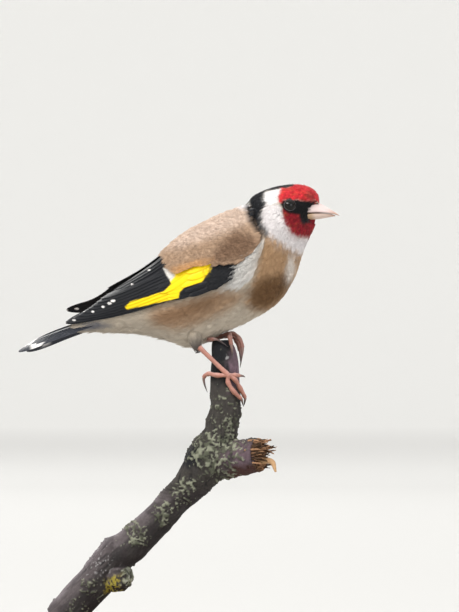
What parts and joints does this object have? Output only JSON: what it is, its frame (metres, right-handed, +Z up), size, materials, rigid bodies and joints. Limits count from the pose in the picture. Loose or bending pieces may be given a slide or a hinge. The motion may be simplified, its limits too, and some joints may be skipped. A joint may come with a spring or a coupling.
{
  "type": "european goldfinch",
  "caption": "Life-size songbird model: a small finch with a red face and yellow wing bars gripping the end of a broken branch, held up by a round display stand",
  "frame": {"origin": "centre of the underside of the round base of the stand", "axes": "+Z up, +X the way the bird faces, +Y its left side"},
  "size_m": [0.1143, 0.104, 0.1692],
  "materials": {
    "mantle_brown": "body feathers, buff brown above and whitish below",
    "collar_white": "throat and cheek feathers, white with a black half collar",
    "face_red": "crimson face feathers with a black lore and crown",
    "wing_black": "glossy black flight feathers with a yellow band and white tips",
    "tail_black": "blue-black tail feathers with white spots",
    "thigh_grey": "grey-brown thigh feathers",
    "bill_ivory": "satin pinkish ivory horn",
    "eye_dark": "wet dark brown",
    "leg_pink": "flesh-pink scaled skin",
    "claw_horn": "dark horn",
    "bark": "weathered bark with grey-green lichen",
    "stand_walnut": "oiled dark wood",
    "stand_steel": "satin steel"
  },
  "bodies": {
    "root": {"torso": "mantle_brown", "neck": "collar_white", "head": "face_red", "bill_upper": "bill_ivory", "bill_lower": "bill_ivory", "eye_right": "eye_dark", "eye_left": "eye_dark", "wing_right": "wing_black", "wing_left": "wing_black", "tail": "tail_black", "thigh_right": "thigh_grey", "thigh_left": "thigh_grey", "leg_right": "leg_pink", "leg_left": "leg_pink", "claw_right_hind": "claw_horn", "claw_right_inner": "claw_horn", "claw_right_middle": "claw_horn", "claw_right_outer": "claw_horn", "claw_left_hind": "claw_horn", "claw_left_inner": "claw_horn", "claw_left_middle": "claw_horn", "claw_left_outer": "claw_horn", "perch": "bark", "stand_base": "stand_walnut", "stand_rod": "stand_steel"}
  },
  "joints": []
}
